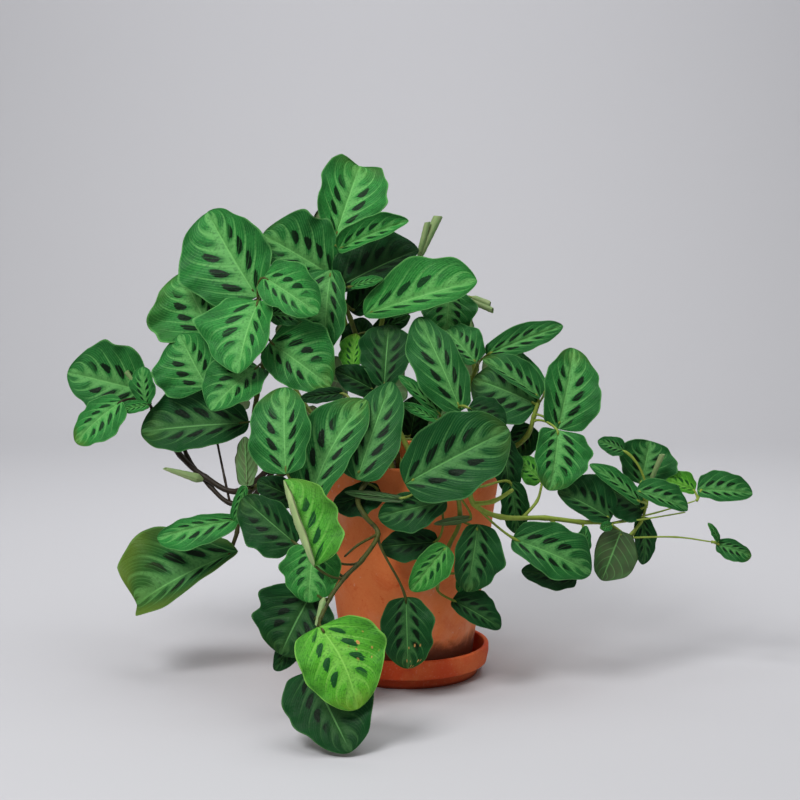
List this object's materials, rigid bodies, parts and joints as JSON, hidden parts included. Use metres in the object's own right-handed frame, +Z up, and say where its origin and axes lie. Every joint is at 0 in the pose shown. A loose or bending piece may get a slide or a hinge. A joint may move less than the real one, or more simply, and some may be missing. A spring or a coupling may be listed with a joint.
{
  "type": "potted prayer plant",
  "caption": "Potted prayer plant (maranta) with broad patterned leaves on trailing stems, in a terracotta pot on a clay saucer.",
  "frame": {"origin": "centre of the saucer's underside, on the surface the plant stands on", "axes": "+Z up, -Y towards the front of the plant, +X to its right seen from the front"},
  "size_m": [0.6749, 0.4424, 0.513],
  "materials": {
    "saucer_clay": "matt fired red clay",
    "pot_clay": "matt terracotta with a paler bloom",
    "potting_soil": "crumbly dark potting soil",
    "foliage": "soft satin leaf"
  },
  "bodies": {
    "root": {"saucer": "saucer_clay", "pot": "pot_clay", "soil": "potting_soil", "shoot_crown_left": "foliage", "shoot_crown_top": "foliage", "shoot_top_right": "foliage", "shoot_mid_right": "foliage", "shoot_right": "foliage", "shoot_far_right": "foliage", "shoot_far_left": "foliage", "shoot_low_left": "foliage", "shoot_front": "foliage", "shoot_front_right": "foliage", "shoot_low_front": "foliage", "shoot_trailing": "foliage", "shoot_back_left": "foliage", "shoot_back_crown": "foliage", "shoot_back_right": "foliage", "shoot_back_low": "foliage"}
  },
  "joints": []
}
